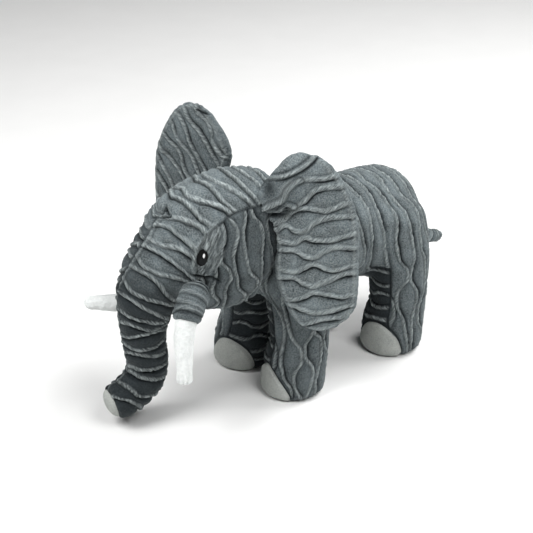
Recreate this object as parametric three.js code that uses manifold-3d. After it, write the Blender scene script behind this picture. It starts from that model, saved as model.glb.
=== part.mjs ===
// A stuffed plush toy elephant that stands on its four feet, with its head turned and tilted.
// Millimetres, +Z up. It faces -X, and its left side is -Y.
// The origin is on the floor, under the centre of the toy's bounding box.

import * as THREE from "three";
import { mergeVertices } from "three/addons/utils/BufferGeometryUtils.js";
import Module from "manifold-3d";

const wasm = await Module();
wasm.setup();

// ---------------------------------------------------------------- driving dimensions

const GAP = 0.3; // clear space kept where one piece is cut by its neighbour
const LEAST_RADIUS = 0.5; // of the small flat that closes a rounded end
const SIDES = { left: -1, right: 1 }; // the sign of y on each side
const degrees = THREE.MathUtils.degToRad;

// A row of a loft says where its centre line runs, and its half-width and half-height there.
const TORSO_ROWS = [
  { at: [-100, 0, 130], width: 40, height: 40 },
  { at: [-50, 0, 128], width: 44, height: 44 },
  { at: [0, 0, 124], width: 46, height: 47 },
  { at: [50, 0, 118], width: 48, height: 50 },
  { at: [85, 0, 115], width: 47, height: 50 },
  { at: [112, 0, 111], width: 40, height: 46 },
];
const TORSO_ENDS = { start: 30, end: 40 };

const FEET = {
  front_left: [-60, -36],
  front_right: [-57, 34],
  hind_left: [64, -40],
  hind_right: [40, 42],
};
const TOE_OUT = 6; // how far the foot runs ahead of the shank
// A leg's rows are written for the right side; the left legs are their mirror image.
const LEG_ROWS = [
  { at: [-TOE_OUT, 0, 0], width: 28, height: 28 },
  { at: [-TOE_OUT, 0, 16], width: 30, height: 30 },
  { at: [1, 0, 46], width: 26.5, height: 26 },
  { at: [2, -1, 80], width: 28, height: 28 },
  { at: [2, -5, 112], width: 28, height: 31 },
  { at: [3, -13, 150], width: 22, height: 25 },
];
const LEG_ENDS = { start: 7, end: 22, sole: 0.8 };
const TOE = { half_width: 25, height: 34, thickness: 2 };
// How far inward from straight ahead each toe patch faces.
const TOE_TURNS = {
  front_left: degrees(18),
  front_right: degrees(13),
  hind_left: degrees(-7),
  hind_right: 0,
};

const HEAD = {
  at: [-125, -3, 163],
  turn: degrees(-14), // towards its right side
  roll: degrees(7), // its right side is the higher one
};
const HEAD_ROWS = [
  { at: [52, 0, -12], width: 38, height: 50 },
  { at: [25, 0, -7], width: 44, height: 63 },
  { at: [0, 0, -6], width: 46, height: 65 },
  { at: [-25, 0, -3], width: 43, height: 57 },
  { at: [-48, 0, -4], width: 35, height: 40 },
  { at: [-64, 0, -9], width: 25, height: 28 },
];
const HEAD_ENDS = { start: 20, end: 22 };

const TRUNK_ROWS = [
  { at: [-36, 0, 8], width: 30, height: 30 },
  { at: [-53, 0, -12], width: 28.5, height: 28 },
  { at: [-64, 0, -31], width: 28, height: 27 },
  { at: [-69, 0, -50], width: 25.5, height: 25 },
  { at: [-72, 0, -72], width: 19.5, height: 20 },
  { at: [-70.5, 0, -94], width: 18, height: 18.5 },
  { at: [-69, 0, -110], width: 18, height: 18 },
  { at: [-75, 0, -126], width: 18, height: 18 },
  { at: [-88, 0, -135], width: 17, height: 17 },
  { at: [-109, 0, -141.5], width: 15, height: 15 },
];
const TRUNK_ENDS = { start: 12, end: 6 };
const TRUNK_TIP = 6; // length of the lighter patch that closes the trunk's end

// Where each tusk leaves the cheek, where its sleeve ends, and its tip. The left one's end is the blunter.
const TUSKS = {
  left: { root: [-163, -29, 145], mouth: [-194.5, -44.5, 121], tip: [-207.5, -56, 71] },
  right: { root: [-158, 30, 138], mouth: [-181, 43, 102], tip: [-215, 72, 98] },
};
const TUSK_ENDS = { left: { end: 3, radius: 6 }, right: { end: 7, radius: 5.5 } };
const TUSK = { radius: 9.5, sleeve_radius: 13, sleeve_mouth: 11.5 };

const EARS = {
  left: { at: [-109, -37, 196], turn: degrees(-46), raise: 0 },
  right: { at: [-86, 20, 200], turn: degrees(103), raise: 9 },
};
const EAR = { thickness: 13, edge: 0.3, cup: 8 };
// The ear's outline from its gathered root, out along its top, and back along its lower edge.
const EAR_OUTLINE = [
  [0, 10],
  [16, 34],
  [34, 47],
  [54, 44],
  [72, 22],
  [83, -8],
  [85, -50],
  [84, -92],
  [73, -109],
  [50, -118],
  [33, -108],
  [16, -66],
  [16, -34],
  [8, -10],
];

const EYE = { at: [-32, 38, 9], half_width: 6, half_height: 8, thickness: 1.6, tilt: degrees(-12) };
const TAIL_ROWS = [
  { at: [96, 0, 112], width: 9, height: 9 },
  { at: [130, 0, 88], width: 8, height: 8 },
  { at: [150, 0, 69], width: 7.5, height: 7.5 },
  { at: [168, 0, 67], width: 5.5, height: 5.5 },
];

const CLOTH = { grey: "#6b7378", taupe: "#a5aaa6", white: "#f3f4f1", sleeve: "#5f676b", thread: "#1b1c1d" };

// ---------------------------------------------------------------- shape helpers

function closedSkin(rings, firstPole, lastPole) {
  const sides = rings[0].length;
  const points = [firstPole, ...rings.flat(), lastPole];
  const last = points.length - 1;
  const index = [];
  for (let side = 0; side < sides; side++) {
    const next = (side + 1) % sides;
    index.push(0, 1 + next, 1 + side);
    index.push(last, last - sides + side, last - sides + next);
    for (let ring = 0; ring + 1 < rings.length; ring++) {
      const a = 1 + ring * sides + side;
      const b = 1 + ring * sides + next;
      index.push(a, b, b + sides, a, b + sides, a + sides);
    }
  }
  const geometry = new THREE.BufferGeometry();
  geometry.setAttribute("position", new THREE.Float32BufferAttribute(points.flatMap((p) => p.toArray()), 3));
  geometry.setIndex(index);
  return geometry;
}

const centreLine = (rows) => new THREE.CatmullRomCurve3(rows.map((row) => new THREE.Vector3(...row.at)));

// Distances along a body of the given length, closer together where its ends round off.
function stations(length, { start, end }, steps) {
  const arc = 4;
  const list = [];
  for (let i = 0; i < arc; i++) list.push(start * (1 - Math.cos((i / arc) * (Math.PI / 2))));
  for (let i = 0; i <= steps; i++) list.push(start + ((length - start - end) * i) / steps);
  for (let i = 1; i <= arc; i++) list.push(length - end * (1 - Math.sin((i / arc) * (Math.PI / 2))));
  return list;
}

// A round body along its rows, with rounded ends, from one distance along it to another.
// Each end is a dome, or a flat of the given share of the section. Growing it moves its whole surface out.
function loft(rows, ends, { sides = 24, steps = 12, grow = 0, from = 0, to = 1 } = {}) {
  const line = centreLine(rows);
  const section = new THREE.CatmullRomCurve3(rows.map((row) => new THREE.Vector3(row.width, row.height, 0)));
  const length = line.getLength();
  const { start = 10, end = 10, sole = 0 } = ends;
  const inRange = stations(length, { start, end }, steps).filter((s) => s > from * length && s < to * length);
  const rings = [from * length, ...inRange, to * length].map((distance) => {
    const t = line.getUtoTmapping(distance / length);
    const tangent = line.getTangent(t);
    const centre = line.getPoint(t);
    const size = section.getPoint(t);
    const inStart = Math.max(0, 1 - distance / start);
    const inEnd = Math.max(0, 1 - (length - distance) / end);
    const startShare = sole + (1 - sole) * Math.sqrt(1 - inStart * inStart);
    const share = startShare * Math.sqrt(1 - inEnd * inEnd);
    centre.addScaledVector(tangent, grow * (inEnd - inStart));
    const up = new THREE.Vector3().crossVectors(tangent, new THREE.Vector3(0, 1, 0)).normalize();
    const across = new THREE.Vector3().crossVectors(up, tangent);
    const ring = [];
    for (let side = 0; side < sides; side++) {
      const angle = (side / sides) * 2 * Math.PI;
      const wide = Math.cos(angle) * Math.max(size.x * share + grow, LEAST_RADIUS);
      const high = Math.sin(angle) * Math.max(size.y * share + grow, LEAST_RADIUS);
      ring.push(centre.clone().addScaledVector(across, wide).addScaledVector(up, high));
    }
    ring.centre = centre;
    return ring;
  });
  return closedSkin(rings, rings[0].centre, rings.at(-1).centre);
}

function toSolid(geometry, matrix = new THREE.Matrix4()) {
  const bare = geometry.clone().applyMatrix4(matrix);
  bare.deleteAttribute("normal");
  bare.deleteAttribute("uv");
  const merged = mergeVertices(bare, 1e-4);
  const mesh = new wasm.Mesh({
    numProp: 3,
    vertProperties: new Float32Array(merged.attributes.position.array),
    triVerts: new Uint32Array(merged.index.array),
  });
  return new wasm.Manifold(mesh);
}

function toGeometry(solid) {
  const parts = solid.decompose().sort((a, b) => b.volume() - a.volume());
  const mesh = parts[0].getMesh();
  const geometry = new THREE.BufferGeometry();
  geometry.setAttribute("position", new THREE.BufferAttribute(new Float32Array(mesh.vertProperties), 3));
  geometry.setIndex(new THREE.BufferAttribute(new Uint32Array(mesh.triVerts), 1));
  return geometry;
}

function cloth(name, color, geometry) {
  const material = new THREE.MeshStandardMaterial({ color, roughness: 0.95, metalness: 0 });
  const mesh = new THREE.Mesh(geometry, material);
  mesh.name = name;
  return mesh;
}

// ---------------------------------------------------------------- body and legs

const torso = (grow = 0) => loft(TORSO_ROWS, TORSO_ENDS, { sides: 24, steps: 8, grow });

function leg(name, grow = 0) {
  const [x, y] = FEET[name];
  const rows = LEG_ROWS.map((row) => ({ ...row, at: [row.at[0], row.at[1] * Math.sign(y), row.at[2]] }));
  return loft(rows, LEG_ENDS, { sides: 16, steps: 6, grow }).translate(x, y, 0);
}

// An arch-shaped prism through the front of a foot, standing on the floor.
function toeArch(name, margin) {
  const [x, y] = FEET[name];
  const arch = new THREE.Shape();
  arch.moveTo(TOE.half_width + margin, -1);
  arch.absellipse(0, 0, TOE.half_width + margin, TOE.height + margin, 0, Math.PI);
  arch.lineTo(-TOE.half_width - margin, -1);
  const prism = new THREE.ExtrudeGeometry(arch, { depth: 60, bevelEnabled: false, curveSegments: 5 });
  prism.rotateX(Math.PI / 2).rotateZ(-Math.PI / 2).translate(TOE_OUT - 10, 0, 0);
  return prism.rotateZ(TOE_TURNS[name] * Math.sign(y)).translate(x - TOE_OUT, y, 0);
}

function buildLeg(name) {
  const core = toSolid(leg(name, -TOE.thickness));
  const opening = toSolid(toeArch(name, GAP)).subtract(toSolid(leg(name, -TOE.thickness - GAP)));
  const whole = toSolid(leg(name));
  const shank = whole.subtract(opening).subtract(toSolid(torso(GAP)));
  const patch = whole.intersect(toSolid(toeArch(name, 0))).subtract(core);
  return [
    cloth(`${name}_leg`, CLOTH.grey, toGeometry(shank)),
    cloth(`${name}_toe`, CLOTH.taupe, toGeometry(patch)),
  ];
}

// ---------------------------------------------------------------- head and trunk

const headGroup = new THREE.Group();
headGroup.position.set(...HEAD.at);
headGroup.rotation.z = HEAD.turn;
headGroup.updateMatrix();
const fromHead = headGroup.matrix;
const toHead = headGroup.matrix.clone().invert();

const skull = (grow = 0) => loft(HEAD_ROWS, HEAD_ENDS, { sides: 24, steps: 7, grow }).rotateX(HEAD.roll);
const trunkShape = (options) => loft(TRUNK_ROWS, TRUNK_ENDS, { sides: 16, steps: 15, ...options });
const trunkLength = centreLine(TRUNK_ROWS).getLength();
const trunkTipFrom = 1 - TRUNK_TIP / trunkLength;

function buildHead() {
  return cloth("head", CLOTH.grey, toGeometry(toSolid(skull()).subtract(toSolid(torso(GAP), toHead))));
}

function buildTrunk() {
  const whole = toSolid(trunkShape({ to: trunkTipFrom }));
  const tipFrom = trunkTipFrom + GAP / trunkLength;
  return [
    cloth("trunk", CLOTH.grey, toGeometry(whole.subtract(toSolid(skull(GAP))))),
    cloth("trunk_tip", CLOTH.taupe, trunkShape({ from: tipFrom, steps: 30 })),
  ];
}

// ---------------------------------------------------------------- tusks and their sleeves

// The curve from a tusk's root over its sleeve's mouth to its tip, with radii for the three.
function tuskRows(side, radii) {
  const { root, mouth, tip } = TUSKS[side];
  return [root, mouth, tip].map((at, i) => ({ at, width: radii[i], height: radii[i] }));
}

function tusk(side) {
  const { end, radius } = TUSK_ENDS[side];
  const rows = tuskRows(side, [TUSK.radius, TUSK.radius, radius]);
  return loft(rows, { start: 6, end }, { sides: 12, steps: 7 });
}

function sleeve(side, grow = 0) {
  const rows = tuskRows(side, [TUSK.sleeve_radius, TUSK.sleeve_mouth, TUSK.sleeve_mouth]);
  return loft(rows, { start: 6, end: 0 }, { sides: 14, steps: 9, grow, to: sleeveShare(side) });
}

// How far along the tusk, as a share of its length, its sleeve ends: its mouth is the middle one of three rows.
function sleeveShare(side) {
  const curve = centreLine(tuskRows(side, [0, 0, 0]));
  const lengths = curve.getLengths(200);
  return lengths[100] / lengths[200];
}

function buildTusk(side) {
  const headAndTrunk = toSolid(skull(GAP), fromHead).add(toSolid(trunkShape({ grow: GAP }), fromHead));
  const socket = toSolid(sleeve(side)).subtract(headAndTrunk);
  const ivory = toSolid(tusk(side)).subtract(toSolid(sleeve(side, GAP))).subtract(headAndTrunk);
  return [
    cloth(`${side}_tusk_sleeve`, CLOTH.sleeve, toGeometry(socket)),
    cloth(`${side}_tusk`, CLOTH.white, toGeometry(ivory)),
  ];
}

// ---------------------------------------------------------------- ears, eyes and tail

// A flat stuffed pad inside the ear's outline, its edges cupped towards the front.
function earPad(frontwards) {
  const rim = new THREE.CatmullRomCurve3(
    EAR_OUTLINE.map(([out, up]) => new THREE.Vector3(out, up, 0)),
    true,
  ).getSpacedPoints(30);
  rim.pop();
  const centre = new THREE.Box3().setFromPoints(rim).getCenter(new THREE.Vector3());
  const half = centre.y - Math.min(...rim.map((p) => p.y));
  const shares = [0.3, 0.55, 0.75, 0.9, 1];
  const ringAt = (share, face) =>
    rim.map((point) => {
      const p = centre.clone().lerp(point, share);
      const swell = EAR.edge + (1 - EAR.edge) * Math.sqrt(1 - share ** 4);
      const bend = -frontwards * EAR.cup * ((p.x - centre.x) / half) ** 2;
      return p.setZ(face * (EAR.thickness / 2) * swell + bend);
    });
  const front = shares.map((share) => ringAt(share, 1));
  const back = shares.map((share) => ringAt(share, -1)).reverse();
  const pole = (face) => centre.clone().setZ((face * EAR.thickness) / 2);
  return closedSkin([...front, ...back], pole(1), pole(-1));
}

function buildEar(side) {
  const { at, turn, raise } = EARS[side];
  const placed = new THREE.Object3D();
  placed.position.set(at[0], at[1], at[2] + raise);
  placed.rotation.set(Math.PI / 2, 0, turn, "ZXY");
  placed.updateMatrix();
  const behind = [toSolid(skull(GAP), fromHead), toSolid(torso(GAP)), toSolid(leg(`front_${side}`, GAP))];
  const clear = behind.reduce((pad, body) => pad.subtract(body), toSolid(earPad(SIDES[side]), placed.matrix));
  const backHome = placed.matrix.clone().invert();
  const mesh = cloth(`${side}_ear`, CLOTH.grey, toGeometry(clear).applyMatrix4(backHome));
  mesh.position.copy(placed.position);
  mesh.quaternion.copy(placed.quaternion);
  return mesh;
}

function buildEye(side) {
  const [x, y, z] = EYE.at;
  const oval = new THREE.Shape();
  oval.absellipse(0, 0, EYE.half_width, EYE.half_height, 0, 2 * Math.PI);
  const disc = new THREE.ExtrudeGeometry(oval, { depth: 60, bevelEnabled: false, curveSegments: 8 });
  disc.rotateX(Math.PI / 2).rotateY(EYE.tilt).translate(x, side === "left" ? 0 : 60, z).rotateX(HEAD.roll);
  const shell = toSolid(skull(EYE.thickness)).subtract(toSolid(skull(GAP)));
  return cloth(`${side}_eye`, CLOTH.thread, toGeometry(toSolid(disc).intersect(shell)));
}

function buildTail() {
  const stub = toSolid(loft(TAIL_ROWS, { start: 3, end: 5 }, { sides: 8, steps: 4 }));
  return cloth("tail", CLOTH.grey, toGeometry(stub.subtract(toSolid(torso(GAP)))));
}

// ---------------------------------------------------------------- the whole toy

const toy = new THREE.Group();
toy.add(cloth("torso", CLOTH.grey, torso()));
for (const name of Object.keys(FEET)) toy.add(...buildLeg(name));
headGroup.add(buildHead(), ...buildTrunk(), buildEye("left"), buildEye("right"));
toy.add(headGroup);
for (const side of Object.keys(SIDES)) toy.add(...buildTusk(side), buildEar(side));
toy.add(buildTail());

const elephant = new THREE.Group();
elephant.add(toy);
toy.updateMatrixWorld(true);
const box = new THREE.Box3().setFromObject(toy, true);
toy.position.set(-(box.min.x + box.max.x) / 2, -(box.min.y + box.max.y) / 2, -box.min.z);

export default elephant;
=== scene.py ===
"""Dresses the stuffed plush elephant: ridged grey plush, white tusks, stitched eyes and pale toe patches."""

import math

import bpy
import numpy as np
from mathutils import Matrix, Vector
from mathutils.bvhtree import BVHTree


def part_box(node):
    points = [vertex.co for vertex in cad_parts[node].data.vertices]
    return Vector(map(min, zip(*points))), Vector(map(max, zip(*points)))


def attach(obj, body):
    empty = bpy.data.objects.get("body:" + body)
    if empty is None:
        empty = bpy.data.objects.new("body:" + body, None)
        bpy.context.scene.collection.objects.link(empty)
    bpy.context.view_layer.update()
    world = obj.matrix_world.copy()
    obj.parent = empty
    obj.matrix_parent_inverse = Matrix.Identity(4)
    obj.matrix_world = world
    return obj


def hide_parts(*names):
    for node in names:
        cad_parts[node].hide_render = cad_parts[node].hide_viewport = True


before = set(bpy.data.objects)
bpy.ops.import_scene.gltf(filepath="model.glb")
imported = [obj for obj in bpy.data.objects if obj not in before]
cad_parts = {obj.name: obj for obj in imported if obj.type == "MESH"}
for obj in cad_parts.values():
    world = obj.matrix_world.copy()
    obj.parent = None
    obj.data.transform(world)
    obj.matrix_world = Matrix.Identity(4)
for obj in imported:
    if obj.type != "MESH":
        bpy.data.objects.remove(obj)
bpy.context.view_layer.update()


# ---------------------------------------------------------------- measures, in millimetres
# The toy's own axes: it faces -X, its left side is -Y, and X is 0 above the middle of its torso.

MM = 0.001
TORSO_FRONT = -100.0  # the torso's foremost point
TORSO_LOW, TORSO_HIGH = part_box("torso")
TOY_ORIGIN = np.array([TORSO_LOW.x - TORSO_FRONT * MM, (TORSO_LOW.y + TORSO_HIGH.y) / 2, 0.0])

LEVELS = 2  # how often a piece's even mesh is divided before its relief is made

TORSO_MIDDLE = 120.0  # height of the torso's widest line
TORSO_ROUND = 46.0  # radius of its back and of its round ends
CHEST, RUMP = -62.0, 84.0  # where the torso's round ends begin
FEET = {
    "front_left": (-60.0, -36.0),
    "front_right": (-57.0, 34.0),
    "hind_left": (64.0, -40.0),
    "hind_right": (40.0, 42.0),
}
LEG_ROUND = 28.0  # radius of a leg
# How far a leg's centre line lies ahead of its foot's name point, and how far in, at each height.
LEG_LINE = {"height": (0, 16, 46, 80, 112, 150), "ahead": (-6, -6, 1, 2, 2, 3), "inward": (0, 0, 0, 1, 5, 13)}
# Where the torso's cloth becomes a leg's, from none of it to all: distances from the leg's axis, and heights.
LEG_BEGINS = {"away": (44, 33), "height": (108, 70)}
# Round a leg, 0 degrees is outward and 90 is straight ahead. The inner panel lies between its two seams.
LEG_SEAMS = {"front": (100, -100), "hind": (62, -105)}
# A toe patch is an arch round the front of a foot: where its middle is, how far it reaches to each side,
# how high it is, and how pointed (1 is a straight-sided triangle, 2 is an ellipse).
TOES = {
    "front_left": {"middle": math.radians(108), "reach": math.radians(62), "height": 31.0, "point": 1.5},
    "front_right": {"middle": math.radians(103), "reach": math.radians(55), "height": 31.5, "point": 2.0},
    "hind_left": {"middle": math.radians(83), "reach": math.radians(58), "height": 33.0, "point": 2.0},
    "hind_right": {"middle": math.radians(90), "reach": math.radians(57), "height": 32.0, "point": 2.0},
}
TOE_ROUND = 30.0  # radius of a foot under its toe patch
TOE_DEPTH = 1.2  # how far the plush is cut back for the patch
TOE_MIDDLE, TOE_LOW = 11.0, 0.7  # heights of the patch's middle and of its straight lower edge

HEAD_AT = np.array([-125.0, -3.0, 163.0])
HEAD_TURN = math.radians(-14)
HEAD_ROLL = math.radians(7)
# Rings of cord on the head and trunk are square to the inner line. Their spacing is measured on the
# outer one, which runs along the top of the head and the front of the trunk. Side view, (x, z).
INNER_LINE = [
    (80, -14), (45, -6), (18, 0), (-6, 0), (-26, -6), (-41, -18), (-54, -33),
    (-63, -50), (-69, -72), (-70, -94), (-70, -112), (-76, -127), (-90, -136), (-118, -143),
]
OUTER_LINE = [
    (80, 34), (47, 48), (18, 57), (-14, 55), (-42, 40), (-60, 20), (-79, -12),
    (-89, -42), (-91, -68), (-90, -92), (-89, -107), (-91, -117), (-98, -121), (-118, -127),
]
# The outer line is stretched where cords lie closer than usual: its places, and those on the cloth.
CLOTH_PLACES = {"station": (0, 140, 235, 300, 335), "cloth": (0, 140, 204, 274, 309)}
# Each row is one cord: how far along the cloth it lies at the middle of the head or trunk, and at each
# further step round to the side. Neighbours part round long cells and nearly meet between them.
HEAD_CORDS_STEP = 10
HEAD_CORDS = [
    (0, 0, 0, 0, 0, 0), (12, 12, 12, 12, 12, 12), (25, 24, 22, 22, 24, 25),
    (36, 36, 35, 33, 31, 31), (48, 46, 43, 42, 43, 44), (60, 57, 54, 51, 47, 47),
    (71, 68, 62, 57, 53, 50), (82, 80, 75, 68, 62, 58), (95, 93, 86, 76, 69, 65),
    (102, 99, 97, 94, 88, 82), (114, 115, 109, 99, 93, 88), (123, 120, 118, 116, 112, 106),
    (137, 133, 127, 122, 119, 117), (143, 138, 137, 134, 131, 129), (149, 147, 143, 140, 138, 136),
    (157, 153, 151, 151, 151, 150), (163, 168, 166, 161, 156, 153), (175, 173, 173, 178, 183, 186),
    (184, 190, 190, 189, 190, 191), (195, 195, 197, 199, 202, 205), (206, 207, 207, 207, 208, 208),
    (217, 214, 215, 216, 214, 213), (229, 228, 224, 220, 218, 219), (237, 238, 240, 239, 238, 234),
    (248, 245, 245, 247, 248, 249), (260, 259, 260, 260, 260, 260), (268, 267, 268, 268, 268, 268),
    (285, 283, 281, 280, 278, 276), (296, 295, 292, 286, 283, 282), (309, 307, 305, 302, 300, 298),
]
# The seam from the ear's root along the cheek to the eye, and on to the tusk's root, side view.
CHEEK_SEAM = [
    (60, 42), (26, 39), (10, 40), (-4, 38), (-15, 33), (-25, 28), (-32, 21), (-36, 14),
    (-38, 2), (-37, -14), (-31, -34), (-28, -70),
]
# The leaf-shaped ground of combed pile round the eye: its middle, long direction and half-sizes.
EYE_GROUND = {"middle": (-28.0, 9.0), "lean": math.radians(21), "half_length": 26.0, "half_width": 11.5}
EYE_FOLD = [(-39, -10), (-33, -12), (-26, -13), (-19, -18)]
# Short stitched creases on the brow, each from one point to another.
BROW_PUCKER = [
    ((-50.0, -6.0, 37.5), (-53.5, -7.0, 33.0)),
    ((-50.0, -7.0, 37.0), (-50.5, -12.0, 34.5)),
    ((-55.0, -9.5, 31.0), (-50.0, -15.5, 33.5)),
]
FACE_SIDE = 14.0  # how far from the head's middle its side begins, for the ground and fold by the eye
# The seam down the middle of the trunk's front: its y at a few heights.
TRUNK_SEAM = {"height": (-150, -60, -36, -22, -9, 3, 15, 26, 38), "y": (6, 6, 6, 2, -2, -4, -5, -5, -8)}

# Each ear's root, which way it stands out, and how wide its cords are.
EARS = {
    "left": {"at": (-109.0, -37.0, 196.0), "turn": math.radians(-46), "cord_width": 2.15},
    "right": {"at": (-86.0, 20.0, 209.0), "turn": math.radians(103), "cord_width": 1.7},
}
# The left ear's cords in the same way: the height of each at one step from the root, and at each step on.
EAR_CORDS_STEP = 8
EAR_CORDS = [
    (2, 8, 21, 26, 27, 27, 28, 30, 31, 31),
    (-1, 0, 1, 3, 9, 17, 20, 21, 22, 18),
    (-16, -14, -8, 0, 1, 0, -1, 2, 6, 7),
    (-26, -20, -15, -20, -20, -13, -8, -6, -5, -5),
    (-28, -29, -31, -31, -26, -28, -28, -27, -24, -21),
    (-40, -39, -38, -38, -43, -44, -38, -34, -33, -34),
    (-56, -56, -58, -58, -54, -51, -54, -56, -54, -51),
    (-65, -65, -64, -64, -69, -72, -68, -64, -60, -58),
    (-84, -85, -85, -85, -82, -78, -79, -80, -81, -79),
    (-91, -91, -91, -92, -95, -98, -97, -95, -92, -89),
    (-104, -105, -107, -109, -110, -107, -104, -103, -101, -96),
    (-118, -118, -118, -118, -118, -116, -114, -113, -112, -110),
]
EAR_OUTLINE = [
    (0, 10), (16, 34), (34, 47), (54, 44), (72, 22), (83, -8), (85, -50),
    (84, -92), (73, -109), (50, -118), (33, -108), (16, -66), (16, -34), (8, -10),
]
TUSKS = {
    "left": {"root": (-163, -29, 145), "mouth": (-194.5, -44.5, 121), "tip": (-207.5, -56, 71)},
    "right": {"root": (-158, 30, 138), "mouth": (-181, 43, 102), "tip": (-215, 72, 98)},
}
TUSK_GATHERS = {"left": 0.9, "right": 0.15}  # how deep the small folds at a tusk's tip are
# The stitched eye, in the side view of the skull: its middle and tilt, and its ovals. Each oval has its own
# middle and half-sizes, how far it stands proud of the plush and how thick it is.
EYE = {"middle": (-33.5, 7.5), "tilt": math.radians(-12)}
EYE_OVALS = {
    "black": {"shift": (0, 0), "half": (4.3, 7.4), "proud": 1.7, "thick": 2.0},
    "charcoal": {"shift": (0.3, -2.6), "half": (3.2, 4.2), "proud": 2.1, "thick": 1.0},
    "glint": {"shift": (0.5, 2.4), "half": (0.9, 1.9), "proud": 2.6, "thick": 1.0},
}
TAIL_LINE = [(96, 0, 112), (130, 0, 88), (150, 0, 69), (168, 0, 67)]

# How the cords run on each piece: how far apart they lie, how far they swing to each side, how long one swing
# is, how much they wander, and the number that picks their chances. On the body the swing varies.
CORDS = {
    "body": {"pitch": 11.8, "wave": 64.0, "wander": 1.6, "salt": 5},
    "inner leg": {"pitch": 12.0, "sway": 2.0, "wave": 44.0, "wander": 2.4, "salt": 9},
    "cheek": {"pitch": 11.5, "sway": 3.6, "wave": 58.0, "wander": 2.4, "salt": 31},
    "back of the head": {"pitch": 11.5, "sway": 2.6, "wave": 58.0, "wander": 2.0, "salt": 37},
    "right ear": {"pitch": 11.5, "sway": 2.6, "wave": 58.0, "wander": 2.0, "salt": 47},
    "sleeve": {"pitch": 7.5, "sway": 1.4, "wave": 30.0, "wander": 2.5, "salt": 61},
    "tail": {"pitch": 11.0, "sway": 1.2, "wave": 30.0, "wander": 1.3, "salt": 81},
}
# How far a cord swings on the torso's side, over its back, and on a leg.
BODY_SWAY = {"side": 3.0, "back": 2.0, "leg": 4.8}
# A cord's own measures.
CORD = {
    "height": 1.6,
    "crease": 1.9,  # depth of the crease beside it
    "puff": 1.9,  # how far the cloth between cords is puffed up
    "rise": 5.0,  # how far from a cord that cloth reaches its height
    "sunk": 1.1,  # how far the whole relief lies under the solid's surface
    "ragged": 0.4,  # how far its edge strays
    "drift": 0.35,  # how far a cord strays in the long run, as a share of its swing
    "next": 37.0,  # how far apart the counting of length starts on one cord and on the next
}
# The pile on a cord is combed slantwise into strands: how far they lean from it, and their width and length.
STRAND = {"lean": math.radians(36), "wide": 1.1, "long": 6.5}
# How far the nap's unevenness stands out: its strands on a cord, its tufts, and soft lumps in the filling.
NAP = {"strands": 0.4, "tufts": 0.4, "lumps": 0.3}
FAR = 50.0  # a distance at which no seam or ridge is felt


# ---------------------------------------------------------------- mesh tools


def coordinates(mesh):
    flat = np.empty(len(mesh.vertices) * 3, dtype=np.float32)
    mesh.vertices.foreach_get("co", flat)
    return flat.reshape(-1, 3).astype(np.float64)


def normals(mesh):
    flat = np.empty(len(mesh.vertices) * 3, dtype=np.float32)
    mesh.vertex_normals.foreach_get("vector", flat)
    return flat.reshape(-1, 3).astype(np.float64)


def place(mesh, points):
    mesh.vertices.foreach_set("co", np.asarray(points, dtype=np.float32).ravel())
    mesh.update()


def to_toy(points):
    return (points - TOY_ORIGIN) / MM


def from_toy(points):
    return np.asarray(points) * MM + TOY_ORIGIN


def store(mesh, name, values):
    """Keeps one number for each vertex, for the materials to read."""
    attribute = mesh.attributes.get(name) or mesh.attributes.new(name, "FLOAT", "POINT")
    attribute.data.foreach_set("value", np.asarray(values, dtype=np.float32))


def smooth_shaded(mesh):
    mesh.polygons.foreach_set("use_smooth", np.ones(len(mesh.polygons), dtype=bool))


def new_object(name, mesh, material):
    obj = bpy.data.objects.new(name, mesh)
    bpy.context.scene.collection.objects.link(obj)
    mesh.materials.clear()
    mesh.materials.append(material)
    smooth_shaded(mesh)
    return obj


def applied(obj):
    """Makes the object's modifiers part of its mesh."""
    graph = bpy.context.evaluated_depsgraph_get()
    mesh = bpy.data.meshes.new_from_object(obj.evaluated_get(graph))
    old = obj.data
    obj.modifiers.clear()
    obj.data = mesh
    bpy.data.meshes.remove(old)
    smooth_shaded(mesh)
    return obj


def from_arrays(name, points, faces):
    mesh = bpy.data.meshes.new(name)
    mesh.from_pydata([tuple(p) for p in points], [], [tuple(int(v) for v in f) for f in faces])
    mesh.update()
    return mesh


def surface_of(obj):
    """The piece's points in toy millimetres, and which way its surface faces at each."""
    return to_toy(coordinates(obj.data)), normals(obj.data)


def fused(name, nodes, material, voxel, soften, levels=LEVELS):
    """One even, softened surface over several of the frame's solids, which touch or nearly touch."""
    grow = 0.5  # millimetres, which close the gaps between the solids
    points, faces, count = [], [], 0
    for solid in nodes:
        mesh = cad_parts[solid].data
        points.append(coordinates(mesh) + normals(mesh) * grow * MM)
        faces += [[count + v for v in face.vertices] for face in mesh.polygons]
        count += len(mesh.vertices)
    obj = new_object(name, from_arrays(name, np.concatenate(points), faces), material)
    remesh = obj.modifiers.new("even", "REMESH")
    remesh.mode = "VOXEL"
    remesh.voxel_size = voxel * MM
    soft = obj.modifiers.new("soften", "SMOOTH")
    soft.factor = 0.5
    soft.iterations = soften
    divide = obj.modifiers.new("divide", "SUBSURF")
    divide.levels = divide.render_levels = levels
    return applied(obj)


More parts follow.
